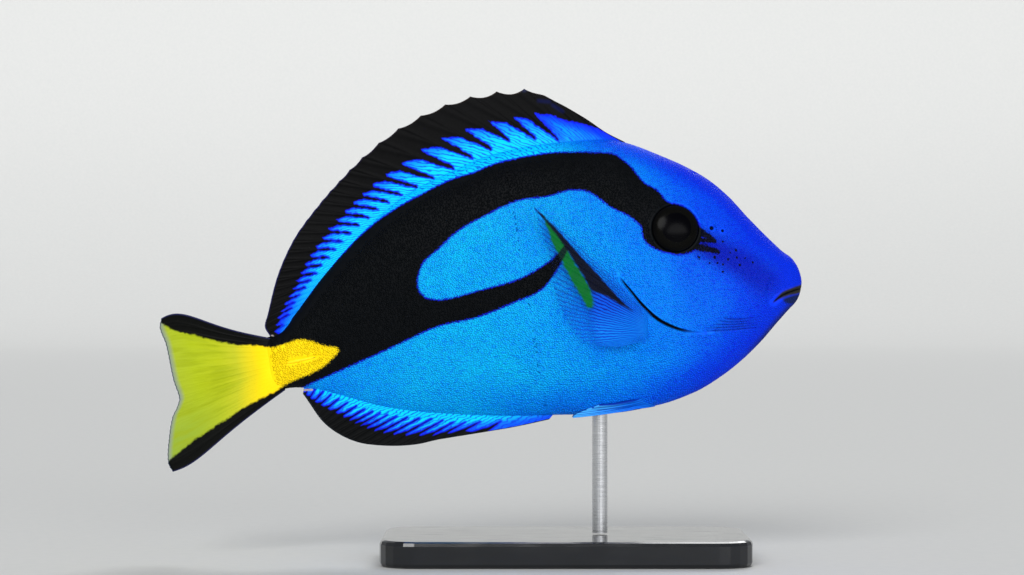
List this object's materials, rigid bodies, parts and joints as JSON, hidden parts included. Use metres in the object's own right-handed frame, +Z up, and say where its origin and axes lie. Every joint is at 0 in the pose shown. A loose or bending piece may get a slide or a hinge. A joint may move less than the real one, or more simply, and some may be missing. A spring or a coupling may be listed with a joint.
{
  "type": "regal blue tang",
  "caption": "Life-size still model of a regal blue tang, a deep flat reef fish with spread fins, held by a short rod over a flat display base.",
  "frame": {"origin": "on the underside of the display base, straight below the snout's middle plane and 46 mm behind the snout", "axes": "+Z up, +X toward the snout, +Y to the fish's left"},
  "size_m": [0.1483, 0.046, 0.1084],
  "materials": {
    "blue_skin": "fine-scaled fish skin, satin, deep blue with a black band",
    "yellow_skin": "fine-scaled fish skin, satin, yellow wedge edged in black",
    "eye": "glossy dark eye",
    "dark_fin": "rayed fin membrane, black margin over blue",
    "blue_fin": "rayed fin membrane, blue",
    "yellow_fin": "rayed fin membrane, yellow with black edges",
    "spine": "smooth horny blade in its groove",
    "stand_base": "black acrylic with a softened edge",
    "stand_rod": "brushed stainless steel"
  },
  "bodies": {
    "root": {"head": "blue_skin", "trunk": "blue_skin", "caudal_peduncle": "yellow_skin", "eye_left": "eye", "eye_right": "eye", "dorsal_fin": "dark_fin", "anal_fin": "blue_fin", "caudal_fin": "yellow_fin", "pectoral_fin_left": "blue_fin", "pectoral_fin_right": "blue_fin", "pelvic_fin_left": "blue_fin", "pelvic_fin_right": "blue_fin", "tail_spine_left": "spine", "tail_spine_right": "spine", "stand_base": "stand_base", "stand_rod": "stand_rod"}
  },
  "joints": []
}
